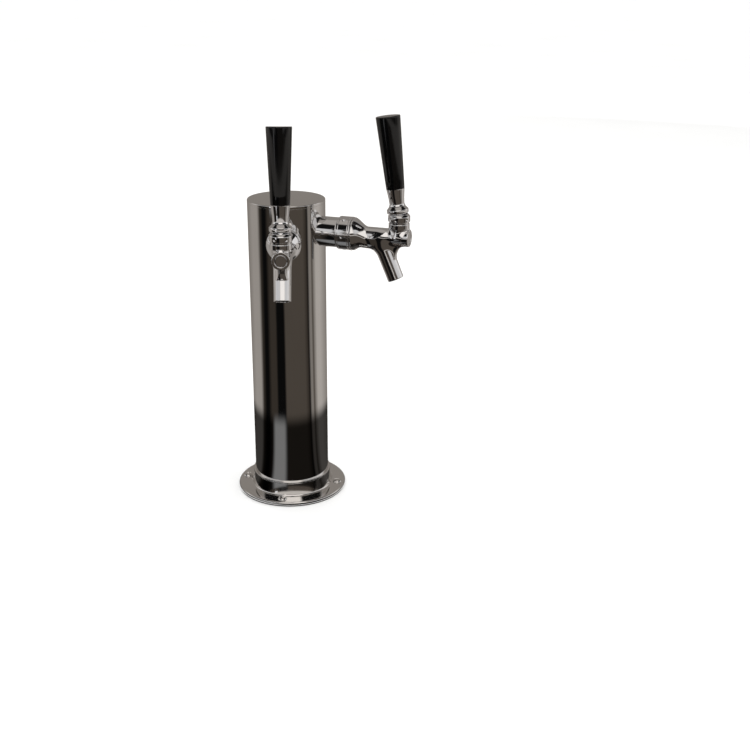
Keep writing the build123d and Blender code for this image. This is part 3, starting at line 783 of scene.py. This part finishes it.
# what stands round the tower, by compass bearing from the camera's, as room tones a mirror column picks up
WHITE = (215, 210, 205)
PALE = (165, 160, 155)
LIGHT = (145, 140, 135)
GREY = (120, 115, 110)
MID = (70, 64, 58)
DIM = (50, 45, 40)
BLACKISH = (10, 10, 10)
ROOM = [
    (-180, WHITE),
    (-170, WHITE),
    (-160, GREY),
    (-150, GREY),
    (-120, LIGHT),
    (-95, LIGHT),
    (-85, DIM),
    (-75, BLACKISH),
    (-65, BLACKISH),
    (-55, DIM),
    (-40, DIM),
    (-35, BLACKISH),
    (-15, BLACKISH),
    (-10, MID),
    (25, MID),
    (45, MID),
    (55, DIM),
    (60, BLACKISH),
    (65, GREY),
    (70, GREY),
    (75, MID),
    (80, GREY),
    (90, PALE),
    (105, PALE),
    (125, LIGHT),
    (150, GREY),
    (160, GREY),
    (170, WHITE),
]


def tent():
    """Banded cloth round the tower, seen only in reflections: a chrome column needs something to mirror."""
    line = [(0.0585, 0.0006), (0.10, 0.0007), (0.25, 0.0008), (0.6, 0.001), (1.5, 0.0015)]
    for deg in range(0, 91, 5):
        line.append((TENT_R * math.cos(math.radians(deg)), 0.002 + TENT_R * math.sin(math.radians(deg))))
    line[-1] = (0.0, line[-1][1])
    v, f = lathe_arrays([(a / MM, b / MM) for a, b in line], (0, 0, 0), UP, (1, 0, 0), 96)
    me = bpy.data.meshes.new("tent")
    me.from_pydata([tuple(np.asarray(p) * MM) for p in v], [], f)
    me.shade_smooth()
    ob = bpy.data.objects.new("tent", me)
    scene.collection.objects.link(ob)
    for flag in ("visible_camera", "visible_diffuse", "visible_shadow", "visible_transmission", "visible_volume_scatter"):
        setattr(ob, flag, False)
    m = bpy.data.materials.new("tent")
    m.use_nodes = True
    nt = m.node_tree
    nt.nodes.clear()

    def math_node(op, a, b=None):
        n = nt.nodes.new("ShaderNodeMath")
        n.operation = op
        for i, x in enumerate((a, b)):
            if isinstance(x, (int, float)):
                n.inputs[i].default_value = x
            elif x is not None:
                nt.links.new(x, n.inputs[i])
        return n.outputs[0]

    tc = nt.nodes.new("ShaderNodeTexCoord")
    sep = nt.nodes.new("ShaderNodeSeparateXYZ")
    nt.links.new(tc.outputs["Object"], sep.inputs["Vector"])
    theta = math_node("SUBTRACT", math_node("ARCTAN2", sep.outputs["Y"], sep.outputs["X"]), CAM_COMPASS)
    wob = nt.nodes.new("ShaderNodeTexNoise")
    wob.inputs["Scale"].default_value = 5.0
    wob.inputs["Detail"].default_value = 2.0
    nt.links.new(tc.outputs["Object"], wob.inputs["Vector"])
    sway = math_node("MULTIPLY", math_node("SUBTRACT", wob.outputs["Fac"], 0.5), 0.035)
    turn = math_node("FRACT", math_node("ADD", math_node("DIVIDE", math_node("ADD", theta, sway), 2 * math.pi), 0.5))
    cr = nt.nodes.new("ShaderNodeValToRGB")
    els = cr.color_ramp.elements
    while len(els) < len(ROOM):
        els.new(0.5)
    for el, (deg, c) in zip(els, ROOM):
        el.position = (deg + 180) / 360
        el.color = (*[x / 0.80 for x in srgb(*c)], 1)
    nt.links.new(turn, cr.inputs["Fac"])
    def blend(fac, a, b):
        n = nt.nodes.new("ShaderNodeMix")
        n.data_type = "RGBA"
        nt.links.new(fac, n.inputs["Factor"])
        nt.links.new(a, n.inputs["A"])
        if isinstance(b, tuple):
            n.inputs["B"].default_value = (*[x / 0.80 for x in srgb(*b)], 1)
        else:
            nt.links.new(b, n.inputs["B"])
        return n.outputs["Result"]

    def step(value, lo, hi):
        n = nt.nodes.new("ShaderNodeMapRange")
        n.interpolation_type = "SMOOTHSTEP"
        n.inputs["From Min"].default_value = lo
        n.inputs["From Max"].default_value = hi
        nt.links.new(value, n.inputs["Value"])
        return n.outputs["Result"]

    # the ground is banded by bearing and dark close in; above the horizon come a bright
    # window belt, a dark wall and a dim ceiling, with a plain wall behind the tower
    x, y, z = sep.outputs["X"], sep.outputs["Y"], sep.outputs["Z"]
    reach = math_node("SQRT", math_node("ADD", math_node("MULTIPLY", x, x), math_node("MULTIPLY", y, y)))
    rise = math_node("MULTIPLY", math_node("ARCTAN2", math_node("SUBTRACT", z, 0.25), reach), 180 / math.pi)
    off = math_node("ABSOLUTE", math_node("SUBTRACT", turn, 0.5))
    near = math_node("SUBTRACT", 1.0, step(off, 0.30, 0.37))
    close = math_node("SUBTRACT", 1.0, step(reach, 0.215, 0.265))
    dim = nt.nodes.new("ShaderNodeMix")
    dim.data_type = "RGBA"
    dim.blend_type = "MULTIPLY"
    nt.links.new(close, dim.inputs["Factor"])
    nt.links.new(cr.outputs["Color"], dim.inputs["A"])
    dim.inputs["B"].default_value = (0.12, 0.12, 0.12, 1)
    ground = dim.outputs["Result"]
    patch = math_node("SUBTRACT", 1.0, step(math_node("ABSOLUTE", math_node("SUBTRACT", turn, 0.41)), 0.03, 0.065))
    ground = blend(math_node("MULTIPLY", patch, close), ground, (110, 110, 110))
    slit = math_node("SUBTRACT", 1.0, step(math_node("ABSOLUTE", math_node("SUBTRACT", turn, 0.372)), 0.006, 0.014))
    ground = blend(math_node("MULTIPLY", slit, step(reach, 1.3, 1.7)), ground, (240, 240, 244))
    bright = nt.nodes.new("ShaderNodeMix")
    bright.data_type = "RGBA"
    bright.inputs["Factor"].default_value = 0.45
    bright.inputs["A"].default_value = (1.08, 1.07, 1.07, 1)
    nt.links.new(cr.outputs["Color"], bright.inputs["B"])
    # straight toward the camera's side the belt starts higher and no dark wall follows
    middle = math_node("SUBTRACT", 1.0, step(off, 0.07, 0.11))
    sides = math_node("SUBTRACT", near, middle)
    skirt = math_node("MULTIPLY", math_node("SUBTRACT", step(z, 0.02, 0.06), step(z, 0.24, 0.28)), near)
    c = blend(skirt, ground, (180, 175, 170))
    c = blend(math_node("MULTIPLY", step(rise, 3.0, 5.0), sides), c, bright.outputs["Result"])
    c = blend(math_node("MULTIPLY", step(rise, 29.0, 32.0), sides), c, (15, 15, 15))
    c = blend(math_node("MULTIPLY", step(rise, 10.0, 13.0), middle), c, (230, 225, 220))
    c = blend(math_node("MULTIPLY", step(rise, 2.0, 6.0), math_node("SUBTRACT", 1.0, near)), c, (125, 120, 115))
    c = blend(step(rise, 60.0, 68.0), c, (150, 145, 140))
    em = nt.nodes.new("ShaderNodeEmission")
    nt.links.new(c, em.inputs["Color"])
    out = nt.nodes.new("ShaderNodeOutputMaterial")
    nt.links.new(em.outputs[0], out.inputs["Surface"])
    me.materials.append(m)


tent()
area("key", (-0.9, -1.6, 2.2), (0, 0, 0.25), 1.2, 16)
area("fill", (1.8, -0.9, 1.4), (0, 0, 0.25), 0.9, 7, size_y=1.4)
area("back", (0.4, 1.9, 1.9), (0, 0, 0.2), 1.6, 10)
for lamp in ("key", "fill", "back"):
    bpy.data.objects[lamp].visible_glossy = False
scene.view_settings.view_transform = "Standard"
